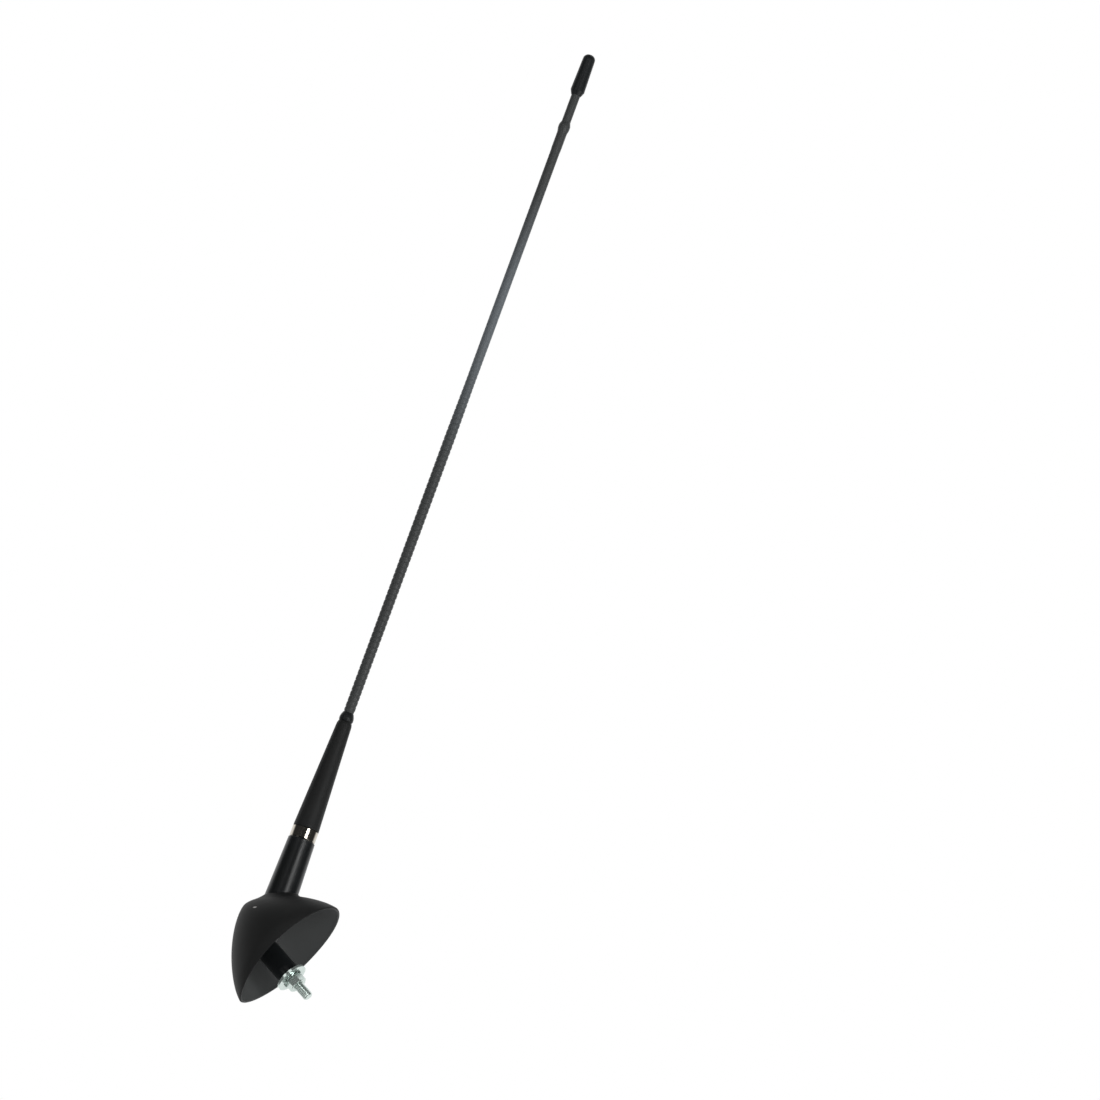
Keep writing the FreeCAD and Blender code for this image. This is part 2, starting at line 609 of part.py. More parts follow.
def makeWhipSheath():
    # a sleeve shrunk on the winding: the wire's turns stand out as ribs along its lower stretch
    foot = value(COLLAR_START)
    start = value(COLLAR_START + " + collar_len")
    end = value(BEAD_START)
    beadTop = end + value("bead_len")
    slope = value("bead_slope")
    count = round(value("rib_stretch") / value("rib_pitch"))
    crest = value("crest_low_r")
    outline = [(value("spigot_r"), foot), (value("spigot_r"), start)]
    for i in range(count):
        outline.append((crest, start + (i + 0.5) * value("rib_pitch")))
        outline.append((crest - value("rib_deep"), start + (i + 1) * value("rib_pitch")))
    plain = start + count * value("rib_pitch") + value("sheath_slope")
    swell = end - value("swell_len")
    outline += [
        (value("sheath_mid_r"), plain), (value("sheath_mid_r"), swell - slope),
        (value("sheath_top_r"), swell), (value("sheath_top_r"), end),
        (value("bead_r"), end + slope), (value("bead_r"), beadTop - slope),
        (value("sleeve_r"), beadTop), (value("sleeve_r"), value(SHEATH_END)),
        (value("rod_r + mould_gap"), value(SHEATH_END)),
        (value("rod_r + mould_gap"), value(END_RING_END)),
        (value("end_ring_r + mould_gap"), value(END_RING_END)),
        (value("end_ring_r + mould_gap"), value(END_RING_START)),
        (value("winding_r + mould_gap"), value(END_RING_START)),
        (value("winding_r + mould_gap"), foot)]
    points = [FreeCAD.Vector(radius, 0, height) for radius, height in outline]
    profile = Part.Face(Part.makePolygon(points + points[:1]))
    sheath = doc.addObject("Part::Feature", "whip_sheath")
    sheath.Shape = profile.revolve(FreeCAD.Vector(), FreeCAD.Vector(0, 0, 1), 360)
    sheath.Label = "whip_sheath"
    return lean(sheath)


def makeTipCap():
    mouth = MAST_TIP + " - cap_len"
    shoulder = mouth + " + cap_mouth"
    core = MAST_TIP + " - cap_wall"
    body = turned("tip_cap", [
        ("sleeve_r + mould_gap", mouth), ("cap_mouth_r", mouth), ("cap_r", shoulder),
        ("cap_tip_r", MAST_TIP), ("0", MAST_TIP), ("0", core), ("rod_r + mould_gap", core),
        ("rod_r + mould_gap", SHEATH_END), ("sleeve_r + mould_gap", SHEATH_END)])
    doc.recompute()
    turn = body.Tip
    tip = value(MAST_TIP)
    rim = ["Edge%d" % (i + 1) for i, edge in enumerate(turn.Shape.Edges)
           if abs(edge.BoundBox.ZMin - tip) < 1e-6 and abs(edge.BoundBox.ZMax - tip) < 1e-6
           and edge.BoundBox.XLength > value("cap_tip_r")]
    fillet = body.newObject("PartDesign::Fillet", "cap_rounding")
    fillet.Base = (turn, rim)
    fillet.setExpression("Radius", "Sizes.cap_round * 1 mm")
    return lean(body)


pieces = [
    makeFootBody(), makeNeckInsert(), makeLinkRod(), makeRoofStud(), makeCoverBoot(),
    makeFlatWasher(), makeToothedWasher(), makeHexNut(),
    makeMastRing(), makeMastStud(), makeMastFerrule(), makeMastBase(), makeWhipCollar(),
    makeCoreRod(), makeWinding(), makeEndRing(), makeWhipSheath(), makeTipCap()]
doc.recompute()

for item in doc.Objects:
    if "Invalid" in item.State or "Error" in item.State:
        raise RuntimeError("%s failed: %s" % (item.Name, item.State))
os.makedirs("parts", exist_ok=True)
for piece in pieces:
    shape = piece.Shape
    if shape.isNull() or not shape.isValid() or len(shape.Solids) != 1:
        raise RuntimeError("%s has no sound solid" % piece.Label)
    shape.exportStep("parts/%s.step" % piece.Label)
    print("%-16s %10.2f mm3" % (piece.Label, shape.Volume))
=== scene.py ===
import bpy
import json
import math
import numpy as np
from mathutils import Matrix, Vector


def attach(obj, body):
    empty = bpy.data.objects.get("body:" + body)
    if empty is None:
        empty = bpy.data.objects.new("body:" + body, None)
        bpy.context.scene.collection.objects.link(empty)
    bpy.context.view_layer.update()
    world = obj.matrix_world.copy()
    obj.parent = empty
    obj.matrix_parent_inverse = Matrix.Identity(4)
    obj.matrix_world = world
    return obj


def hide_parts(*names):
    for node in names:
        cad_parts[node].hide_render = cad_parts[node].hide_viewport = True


# Looks of a car roof antenna: foot with boot, stud and nut, and a ribbed whip mast.
# Metres and radians throughout, unless a name ends in Mm or Deg. The frame comes from the
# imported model.

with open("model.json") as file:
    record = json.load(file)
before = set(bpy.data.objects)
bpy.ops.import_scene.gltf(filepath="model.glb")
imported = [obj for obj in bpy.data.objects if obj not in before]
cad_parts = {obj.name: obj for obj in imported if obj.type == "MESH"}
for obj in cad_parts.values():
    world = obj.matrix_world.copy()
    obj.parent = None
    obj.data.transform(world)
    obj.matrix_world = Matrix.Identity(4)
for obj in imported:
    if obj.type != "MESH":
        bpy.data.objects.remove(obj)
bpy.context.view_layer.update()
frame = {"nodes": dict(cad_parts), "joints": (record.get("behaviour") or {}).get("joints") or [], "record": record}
print("stage 1: frame loaded,", len(frame["nodes"]), "nodes")

mm = 0.001
slotOf = {part["node"]: part["material_slot"] for part in frame["record"]["subparts"]}
joints = {joint["name"]: joint for joint in frame["joints"]}
mastAxis = np.array(joints["mast_turn"]["axis"], float)
mastAxis /= np.linalg.norm(mastAxis)
elbow = np.array(joints["mast_turn"]["pos_m"], float)
rake = math.acos(mastAxis[2])
mastFrame = {"origin": elbow, "up": mastAxis}
studFrame = {"origin": np.zeros(3), "up": np.array([0.0, 0.0, 1.0])}


# Meshes

def spanOf(node, place):
    # lowest and highest point of a node along an axis, read from its mesh
    mesh = frame["nodes"][node].data
    points = np.empty(len(mesh.vertices) * 3)
    mesh.vertices.foreach_get("co", points)
    along = (points.reshape(-1, 3) - place["origin"]) @ place["up"]
    return along.min(), along.max()


def gridMesh(name, points, sharpDeg, capped=True):
    # rows of points become quads that close around; if capped, each end closes on its centre
    rows, columns = points.shape[:2]
    corners = points.reshape(-1, 3)
    around = np.arange(columns)
    beside = (around + 1) % columns
    row = np.arange(rows - 1)[:, None] * columns
    quads = np.stack([row + around, row + beside, row + columns + beside,
                      row + columns + around], axis=-1)
    faces = quads.reshape(-1, 4).tolist()
    if capped:
        for end, a, b in ((0, beside, around), (rows - 1, around, beside)):
            centre = np.full(columns, len(corners))
            corners = np.vstack([corners, points[end].mean(axis=0)])
            faces += np.stack([end * columns + a, end * columns + b, centre], axis=-1).tolist()
    mesh = bpy.data.meshes.new(name)
    mesh.from_pydata(corners.tolist(), [], faces)
    mesh.update()
    mesh.shade_smooth()
    mesh.set_sharp_from_angle(angle=math.radians(sharpDeg))
    return mesh


def turnedGrid(place, along, radius, columns):
    # point = origin + along * up + radius * (cos t * front + sin t * side), t once round;
    # radius may differ all round, so a helix can be cut in it
    side = np.array([0.0, 1.0, 0.0])
    front = np.cross(side, place["up"])
    turn = np.linspace(0, 2 * math.pi, columns, endpoint=False)
    ring = np.cos(turn)[:, None] * front + np.sin(turn)[:, None] * side
    return (place["origin"] + along[:, None, None] * place["up"]
            + radius.reshape(len(along), -1, 1) * ring)


def helixPhase(turns, columns):
    # how far round its groove each grid point is, from 0 to 1, on a right-hand helix that has
    # made this many turns at each row
    return (turns[:, None] - np.linspace(0, 1, columns, endpoint=False)) % 1.0


def addPiece(name, mesh, body, node):
    # a visible piece that rides a body and takes over a node's place and finish
    piece = bpy.data.objects.new(name, mesh)
    bpy.context.scene.collection.objects.link(piece)
    mesh.materials.append(finishes[slotOf[node]])
    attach(piece, body)
    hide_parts(node)


# Shaders

def linear(hexColour):
    # an sRGB hex value as the linear colour that the shader wants
    channels = [int(hexColour[i:i + 2], 16) / 255 for i in (1, 3, 5)]
    return tuple(c / 12.92 if c <= 0.04045 else ((c + 0.055) / 1.055) ** 2.4
                 for c in channels) + (1.0,)


def addNode(tree, kind, settings=None, links=None):
    # one shader node, its values, and the sockets that feed it
    node = tree.nodes.new(kind)
    for key, setting in (settings or {}).items():
        if isinstance(key, int) or key in node.inputs:
            node.inputs[key].default_value = setting
        else:
            setattr(node, key, setting)
    for key, source in (links or {}).items():
        tree.links.new(source, node.inputs[key])
    return node


def startMaterial(name, settings):
    # a shader with its output, and the Object coordinates that its patterns are drawn on
    material = bpy.data.materials.new(name)
    material.use_nodes = True
    tree = material.node_tree
    tree.nodes.clear()
    shader = addNode(tree, "ShaderNodeBsdfPrincipled", settings)
    addNode(tree, "ShaderNodeOutputMaterial", None, {"Surface": shader.outputs[0]})
    place = addNode(tree, "ShaderNodeTexCoord").outputs["Object"]
    return material, tree, shader, place


def mastPlace(tree, place):
    # Object coordinates turned so that Z runs along the mast from the elbow
    turn = Matrix.Rotation(-rake, 3, "Y")
    shift = -(turn @ Vector(elbow))
    return addNode(tree, "ShaderNodeMapping", {"Rotation": (0, -rake, 0), "Location": shift},
                   {"Vector": place}).outputs[0]


def waveScale(sizeMm):
    # the scale at which a wave texture, which runs 20 radians a unit, repeats at that size
    return 2 * math.pi / (20 * sizeMm * mm)


def mottle(tree, look, place):
    # a noise with patches of the look's size, and its two colours mixed by that noise
    noise = addNode(tree, "ShaderNodeTexNoise", {
        "Scale": 1 / (look["patchMm"] * mm), "Detail": look["detail"],
        "Roughness": look["uneven"]}, {"Vector": place}).outputs["Fac"]
    low, high = look["colours"]
    colour = addNode(tree, "ShaderNodeMix", {
        "data_type": "RGBA", 6: linear(low), 7: linear(high)}, {"Factor": noise})
    return noise, colour.outputs[2]


def feedShader(tree, shader, look, colour=None, gloss=None, height=None):
    # links the colour, the gloss pattern carried to the look's range of roughness, and the
    # height pattern as a bump of the look's strength and depth
    sources = {"Base Color": colour}
    if gloss is not None:
        low, high = look["rough"]
        sources["Roughness"] = addNode(tree, "ShaderNodeMapRange", {
            "To Min": low, "To Max": high}, {"Value": gloss}).outputs[0]
    if height is not None:
        sources["Normal"] = addNode(tree, "ShaderNodeBump", {
            "Strength": look["bump"], "Distance": look["deepMm"] * mm},
            {"Height": height}).outputs[0]
    for socket, source in sources.items():
        if source is not None:
            tree.links.new(source, shader.inputs[socket])


nylon = {"colours": ("#121414", "#1a1d1f"), "patchMm": 9.0, "detail": 3.0, "uneven": 0.5,
         "rough": (0.26, 0.36), "bump": 0.05, "deepMm": 0.2}


def polishedNylon():
    # glass-filled nylon from a polished tool: near black, glossy, with faint flow waves
    material, tree, shader, place = startMaterial("polished black nylon", {
        "IOR": 1.5, "Specular IOR Level": 0.5})
    wave, colour = mottle(tree, nylon, place)
    feedShader(tree, shader, nylon, colour, wave, wave)
    return material


rubber = {
    "colours": ("#151616", "#1e1f1f"), "patchMm": 14.0, "detail": 4.0, "uneven": 0.55,
    "grainMm": 0.35, "bump": 0.25, "deepMm": 0.05,
    "inside": "#515353", "centre": (6 * mm, 0, 14 * mm),
    "paleSpeck": "#cfcdca", "paleSpeckPlace": (9.4 * mm, -16.0 * mm, 32.1 * mm), "paleSpeckLongMm": 1.4,
    "paleSpeckWideMm": 0.6, "paleSpeckTurn": (0, math.radians(52), math.radians(-30)),
    "paleSpeckEdge": (0.6, 1.1)}


def mouldedRubber():
    # compression-moulded EPDM: matte, with a faint grey mottle and a fine grain, which is drawn
    # coarser than the real 0.1 mm so that near views show it; paler on the inside
    material, tree, shader, place = startMaterial("moulded EPDM rubber", {
        "Roughness": 0.62, "IOR": 1.5, "Specular IOR Level": 0.4})
    outside = mottle(tree, rubber, place)[1]
    # the inner skin is where the surface faces the middle of the hollow
    normal = addNode(tree, "ShaderNodeNewGeometry").outputs["True Normal"]
    outward = addNode(tree, "ShaderNodeVectorMath", {
        "operation": "SUBTRACT", 1: rubber["centre"]}, {0: place})
    facing = addNode(tree, "ShaderNodeVectorMath", {"operation": "DOT_PRODUCT"},
                     {0: normal, 1: outward.outputs[0]})
    inner = addNode(tree, "ShaderNodeMath", {"operation": "LESS_THAN", 1: 0.0},
                    {0: facing.outputs["Value"]})
    skin = addNode(tree, "ShaderNodeMix", {"data_type": "RGBA", 7: linear(rubber["inside"])},
                   {"Factor": inner.outputs[0], 6: outside})
    # one small pale speck high on the boot's flank, longer along the slope than across it
    long, wide = rubber["paleSpeckLongMm"] * mm, rubber["paleSpeckWideMm"] * mm
    fromSpeck = addNode(tree, "ShaderNodeMapping", {
        "vector_type": "TEXTURE", "Location": rubber["paleSpeckPlace"],
        "Rotation": rubber["paleSpeckTurn"], "Scale": (long, wide, wide)}, {"Vector": place})
    reach = addNode(tree, "ShaderNodeVectorMath", {"operation": "LENGTH"},
                    {0: fromSpeck.outputs[0]})
    near, far = rubber["paleSpeckEdge"]
    inSpeck = addNode(tree, "ShaderNodeMapRange", {
        "From Min": near, "From Max": far, "To Min": 1.0, "To Max": 0.0},
        {"Value": reach.outputs["Value"]})
    colour = addNode(tree, "ShaderNodeMix", {"data_type": "RGBA", 7: linear(rubber["paleSpeck"])},
                     {"Factor": inSpeck.outputs[0], 6: skin.outputs[2]})
    grain = addNode(tree, "ShaderNodeTexNoise", {
        "Scale": 1 / (rubber["grainMm"] * mm), "Detail": 2.0}, {"Vector": place})
    feedShader(tree, shader, rubber, colour.outputs[2], height=grain.outputs["Fac"])
    return material


elastomer = {"colours": ("#191a1a", "#232424"), "patchMm": 11.0, "detail": 3.0, "uneven": 0.5,
             "rough": (0.52, 0.62), "sparkMm": 0.25, "bump": 0.2, "deepMm": 0.03}


def sparkedElastomer():
    # thermoplastic elastomer moulded over the ferrule in a spark-eroded tool: dark and matte,
    # with a pitted grain, which is drawn coarser than the real 0.1 mm so that near views show it
    material, tree, shader, place = startMaterial("spark-textured elastomer", {
        "IOR": 1.49, "Specular IOR Level": 0.36})
    patch, colour = mottle(tree, elastomer, place)
    pits = addNode(tree, "ShaderNodeTexVoronoi", {"Scale": 1 / (elastomer["sparkMm"] * mm)},
                   {"Vector": place})
    feedShader(tree, shader, elastomer, colour, patch, pits.outputs["Distance"])
    return material


sleeve = {"colours": ("#383a3a", "#4a4c4c"), "patchMm": 25.0, "detail": 5.0, "uneven": 0.6,
          "rough": (0.4, 0.58), "pullMm": 0.4, "bump": 0.15, "deepMm": 0.03,
          # the paler colour and its stretch below are a painted reflection along the mast, not the sleeve's own
          # colour
          "paintedSheen": "#6a7075", "sheenRiseMm": (235, 320), "sheenFallMm": (330, 400)}


def shrunkSleeve():
    # polyolefin sleeve shrunk on the winding: dark grey satin, with a painted blue-grey reflection
    # that rises along one stretch of the mast and falls along the next
    material, tree, shader, place = startMaterial("shrunk polyolefin sleeve", {
        "IOR": 1.5, "Specular IOR Level": 0.5})
    along = mastPlace(tree, place)
    patch, plain = mottle(tree, sleeve, along)
    height = addNode(tree, "ShaderNodeSeparateXYZ", None, {0: along}).outputs["Z"]
    # painted reflection: the sleeve turns paler along one stretch of the mast, standing in for a lamp's sheen
    rise, fall = [addNode(tree, "ShaderNodeMapRange", {
        "interpolation_type": "SMOOTHSTEP", "From Min": low * mm, "From Max": high * mm,
        "To Min": before, "To Max": 1 - before}, {"Value": height}).outputs[0]
        for (low, high), before in ((sleeve["sheenRiseMm"], 0), (sleeve["sheenFallMm"], 1))]
    paintedSheen = addNode(tree, "ShaderNodeMath", {"operation": "MULTIPLY"}, {0: rise, 1: fall})
    colour = addNode(tree, "ShaderNodeMix", {"data_type": "RGBA", 7: linear(sleeve["paintedSheen"])},
                     {"Factor": paintedSheen.outputs[0], 6: plain})
    pull = addNode(tree, "ShaderNodeTexNoise", {
        "Scale": 1 / (sleeve["pullMm"] * mm), "Detail": 2.0}, {"Vector": along})
    feedShader(tree, shader, sleeve, colour.outputs[2], patch, pull.outputs["Fac"])
    return material


cap = {"colours": ("#111416", "#1a1e20"), "patchMm": 5.0, "detail": 3.0, "uneven": 0.5,
       "rough": (0.42, 0.56), "bump": 0.08, "deepMm": 0.05}


def mouldedCap():
    # polypropylene from a plain tool: satin, slightly uneven gloss
    material, tree, shader, place = startMaterial("moulded polypropylene", {
        "IOR": 1.49, "Specular IOR Level": 0.5})
    patch, colour = mottle(tree, cap, place)
    feedShader(tree, shader, cap, colour, patch, patch)
    return material


plate = {"colour": "#cdc7bc", "hazeMm": 1.6, "rough": (0.06, 0.16), "hairMm": 1.25,
         "bump": 0.03, "deepMm": 0.01}


def chromePlate():
    # bright chrome on turned brass: a mirror with a warm cast and wiping marks round it, which
    # are drawn coarser than the real 0.2 mm so that they show
    material, tree, shader, place = startMaterial("chromium-plated brass", {
        "Base Color": linear(plate["colour"]), "Metallic": 1.0})
    along = mastPlace(tree, place)
    haze = addNode(tree, "ShaderNodeTexNoise", {
        "Scale": 1 / (plate["hazeMm"] * mm), "Detail": 4.0}, {"Vector": along})
    hair = addNode(tree, "ShaderNodeTexWave", {
        "bands_direction": "Z", "Scale": waveScale(plate["hairMm"]), "Distortion": 2.0,
        "Detail": 3.0}, {"Vector": along})
    feedShader(tree, shader, plate, gloss=haze.outputs["Fac"], height=hair.outputs["Fac"])
    return material


zinc = {"colours": ("#c3d4ce", "#e9f2ee"), "patchMm": 1.4, "detail": 5.0, "uneven": 0.6,
        "rough": (0.1, 0.24), "clear": 0.75, "turnedMm": 1.9, "bump": 0.12, "deepMm": 0.02}


def zincPlate():
    # bright zinc with a blue-green passivation: uneven tint, soft mirror, and tool marks drawn
    # coarser than the real 0.3 mm so that they show; the chromate film over it scatters, so it
    # isn't wholly a metal
    material, tree, shader, place = startMaterial("blue-passivated zinc plate", {
        "Metallic": zinc["clear"]})
    spot, colour = mottle(tree, zinc, place)
    turned = addNode(tree, "ShaderNodeTexWave", {
        "wave_type": "RINGS", "rings_direction": "Z", "Scale": waveScale(zinc["turnedMm"]),
        "Distortion": 1.5, "Detail": 2.0}, {"Vector": place})
    feedShader(tree, shader, zinc, colour, spot, turned.outputs["Fac"])
    return material


brass = {"colours": ("#8d7242", "#b7965a"), "patchMm": 2.5, "detail": 4.0, "uneven": 0.5,
         "rough": (0.22, 0.4)}


def turnedBrass():
    # free-cutting brass off the lathe, a little tarnished
    material, tree, shader, place = startMaterial("turned brass", {"Metallic": 1.0})
    spot, colour = mottle(tree, brass, place)
    feedShader(tree, shader, brass, colour, spot)
    return material


fibre = {"colours": ("#b3a472", "#cdbf8e"), "patchMm": 0.25, "detail": 3.0, "uneven": 0.5,
         "stretch": 0.03}


def pulledFibre():
    # pultruded glass fibre in resin: straw colour with strands drawn out along the rod
    material, tree, shader, place = startMaterial("pultruded glass fibre", {
        "IOR": 1.52, "Roughness": 0.35})
    strands = addNode(tree, "ShaderNodeMapping", {"Scale": (1, 1, fibre["stretch"])},
                      {"Vector": mastPlace(tree, place)}).outputs[0]
    feedShader(tree, shader, fibre, mottle(tree, fibre, strands)[1])
    return material


wire = {"colour": "#9a4a22", "gap": "#3d1c0e", "pitchMm": 0.6}


def enamelledWire():
    # enamelled copper wound in a close single layer: bright turns, with painted shade in the grooves between them
    material, tree, shader, place = startMaterial("enamelled copper wire", {
        "IOR": 1.55, "Roughness": 0.3, "Metallic": 0.8})
    turns = addNode(tree, "ShaderNodeTexWave", {
        "bands_direction": "Z", "Scale": waveScale(wire["pitchMm"])},
        {"Vector": mastPlace(tree, place)})
    # painted shade: the darker copper bands stand in for the shade in the grooves between round turns
    colour = addNode(tree, "ShaderNodeMix", {
        "data_type": "RGBA", 6: linear(wire["gap"]), 7: linear(wire["colour"])},
        {"Factor": turns.outputs["Fac"]})
    feedShader(tree, shader, wire, colour.outputs[2])
    return material


finishes = {
    "gloss_black": polishedNylon(), "boot_rubber": mouldedRubber(),
    "mast_rubber": sparkedElastomer(), "whip_sleeve": shrunkSleeve(),
    "cap_plastic": mouldedCap(), "bright_chrome": chromePlate(), "zinc": zincPlate(),
    "brass": turnedBrass(), "glass_fibre": pulledFibre(), "copper_wire": enamelledWire()}
for node, piece in frame["nodes"].items():
    piece.data.materials.clear()
    piece.data.materials.append(finishes[slotOf[node]])
print("stage 2: finishes given to the nodes")


# Boot

boot = {
    "columns": 260, "outerRows": 120, "rimRows": 9, "innerRows": 50, "sharpDeg": 60,
    "peakXMm": 6.4, "baseZMm": 4.8, "riseMm": 37.4, "backMm": 33.0, "frontMm": 32.9,
    "halfMm": 26.0, "wallMm": 1.5, "backBend": 1.45, "frontBend": 1.45, "crossBend": 1.8,
    "frontRound": 2.0, "backRound": 1.7, "topShare": 0.998, "archRadiusMm": 560.0,
    "archXMm": 24.0, "archTopMm": 9.3, "rimSteps": 12, "rollMm": 1.1, "rollHighMm": 6.0,
    "rollFade": 0.8, "flareMm": 1.6, "flareReachMm": 4.0, "neckRadiusMm": 7.6}


def profileAt(share, bend):
    # how far out a profile of that exponent still is at a share of the boot's height
    return np.clip(1 - np.clip(share, 0, 1) ** bend, 0, None) ** (1 / bend)


def bootPoints(turn, share, insetMm):
    # x = peak + front or back * profile(share) * |cos t|^(2/n),
    # y = half * profile(share) * |sin t|^(2/n) and z = base + share * rise, with the signs of
    # cos t and sin t, where n is 2 in front of the peak and a little less behind it
    ahead = np.cos(turn) >= 0
    power = 2 / np.where(ahead, boot["frontRound"], boot["backRound"])
    reach = np.where(ahead, (boot["frontMm"] - insetMm) * profileAt(share, boot["frontBend"]),
                     (boot["backMm"] - insetMm) * profileAt(share, boot["backBend"]))
    half = (boot["halfMm"] - insetMm) * profileAt(share, boot["crossBend"])
    x = np.sign(np.cos(turn)) * np.abs(np.cos(turn)) ** power * reach + boot["peakXMm"]
    y = np.sign(np.sin(turn)) * np.abs(np.sin(turn)) ** power * half
    z = boot["baseZMm"] + share * (boot["riseMm"] - insetMm)
    return np.stack(np.broadcast_arrays(x, y, z), axis=-1) * mm


def rimShare(turn, insetMm, liftMm):
    # the share of the height at which the form meets the arch of the roof, found by steps
    radius = boot["archRadiusMm"]
    share = np.zeros_like(turn)
    for step in range(boot["rimSteps"]):
        x = bootPoints(turn, share, insetMm)[..., 0] / mm - boot["archXMm"]
        arch = boot["archTopMm"] - radius + np.sqrt(radius ** 2 - x ** 2)
        share = (arch + liftMm - boot["baseZMm"]) / (boot["riseMm"] - insetMm)
    return share


def makeBoot():
    # outside from just below the peak down to the rim, half a circle round the rim, and up
    # the inside
    turn = np.linspace(0, 2 * math.pi, boot["columns"], endpoint=False)
    halfWall = boot["wallMm"] / 2
    rows = []
    for insetMm, count in ((0.0, boot["outerRows"]), (boot["wallMm"], boot["innerRows"])):
        low = np.arcsin(rimShare(turn, insetMm, halfWall)) * 2 / math.pi
        step = np.linspace(1, 0, count)[:, None] * boot["topShare"]
        share = np.sin(math.pi / 2 * (low + (1 - low) * step))
        rows.append(bootPoints(turn, share, insetMm))
    outer, inner = rows[0], rows[1][::-1]
    # the outside rolls in a little towards the rim, most of all at the sides
    down = np.clip(1 - (outer[..., 2] - outer[-1, :, 2]) / (boot["rollHighMm"] * mm), 0, 1) ** 2
    down *= 1 - boot["rollFade"] * np.cos(turn) ** 2
    middle = np.array([boot["peakXMm"] * mm, 0, 0])
    inward = (middle - outer) * [1, 1, 0]
    inward /= np.linalg.norm(inward, axis=-1, keepdims=True)
    outer += inward * (down * boot["rollMm"] * mm)[..., None]
    # round the neck the rubber climbs: a push along the mast that fades as a square
    fromElbow = outer - elbow
    along = fromElbow @ mastAxis
    away = np.linalg.norm(fromElbow - along[..., None] * mastAxis, axis=-1)
    near = np.clip(1 - (away - boot["neckRadiusMm"] * mm) / (boot["flareReachMm"] * mm), 0, 1)
    near = np.where(along > 0, near, 0) ** 2
    outer += mastAxis * (near * boot["flareMm"] * mm)[..., None]
    around = np.linspace(0, math.pi, boot["rimRows"] + 2)[1:-1, None, None]
    centre, half = (outer[-1] + inner[0]) / 2, (outer[-1] - inner[0]) / 2
    rim = centre + np.cos(around) * half - np.sin(around) * [0, 0, halfWall * mm]
    mesh = gridMesh("moulded boot", np.concatenate([outer, rim, inner])[::-1], boot["sharpDeg"])
    addPiece("mouldedBoot", mesh, "foot", "cover_boot")


makeBoot()


# Base and collar

taper = {
    "columns": 72, "stepMm": 0.5, "sharpDeg": 40, "boreMm": 4.22, "boreEndMm": 14.5,
    "topBoreMm": 1.67, "collarBoreMm": 2.02,
    # height above the foot of the piece, and radius
    "baseMm": [(0, 6.05), (0.08, 6.22), (0.3, 6.33), (53.0, 3.72), (53.6, 3.64), (54.1, 3.52),
               (54.6, 3.36), (54.9, 3.2), (55.1, 3.02)],
    "collarMm": [(0, 3.05), (0.25, 3.3), (0.6, 3.43), (1.0, 3.47), (1.9, 3.45), (2.6, 3.3),
                 (3.2, 3.1), (3.8, 2.86), (4.4, 2.62)]}


def turnedSleeve(name, node, profileMm, boresMm):
    # radius read from the profile at each height, carried once round the mast's axis; the bore,
    # given as depths below the top and radii, closes the surface back to its first ring
    start, end = spanOf(node, mastFrame)
    heights, radii = (np.array(profileMm) * mm).T
    rows = [heights]
    for low, high in zip(heights, heights[1:]):
        rows.append(np.arange(low, high, taper["stepMm"] * mm)[1:])
    along = np.unique(np.concatenate(rows))
    outer = turnedGrid(mastFrame, start + along, np.interp(along, heights, radii),
                       taper["columns"])
    depths, boreRadii = (np.array(boresMm) * mm).T
    bore = turnedGrid(mastFrame, end - depths, boreRadii, taper["columns"])
    mesh = gridMesh(name, np.concatenate([outer, bore, outer[:1]]), taper["sharpDeg"],
                    capped=False)
    addPiece(name, mesh, "mast", node)


baseLow, baseHigh = spanOf("mast_base", mastFrame)
baseLongMm = (baseHigh - baseLow) / mm
boreTopMm = baseLongMm - taper["boreEndMm"]
turnedSleeve("taperedBase", "mast_base", taper["baseMm"], [
    (0, taper["topBoreMm"]), (boreTopMm, taper["topBoreMm"]), (boreTopMm, taper["boreMm"]),
    (baseLongMm, taper["boreMm"])])
collarLongMm = taper["collarMm"][-1][0]
turnedSleeve("whipFerrule", "whip_collar", taper["collarMm"], [
    (0, taper["collarBoreMm"]), (collarLongMm, taper["collarBoreMm"])])


# Whip sheath

sheath = {
    "columns": 40, "rowMm": 0.22, "sharpDeg": 50, "boreMm": 1.67, "spigotMm": 2.0,
    "mouthBelowMm": 0.5, "mouthAboveMm": 1.2, "lowCrestMm": 2.6, "midCrestMm": 2.3,
    "topCrestMm": 2.4, "lowStretchMm": 143.0, "slopeMm": 26.0, "swellMm": 8.0, "beadMm": 2.82,
    "beadLongMm": 5.7, "beadSlopeMm": 2.0, "beadToRingMm": 1.2, "sleeveMm": 2.14,
    "lowPitchMm": 2.75, "highPitchMm": 2.2, "pitchPastMm": 20.0, "ribDeepMm": 0.22,
    "highDeep": 0.15, "deepBeforeMm": 15.0, "deepPastMm": 25.0, "ribFadeMm": 2.0,
    "grooveShare": 0.24}


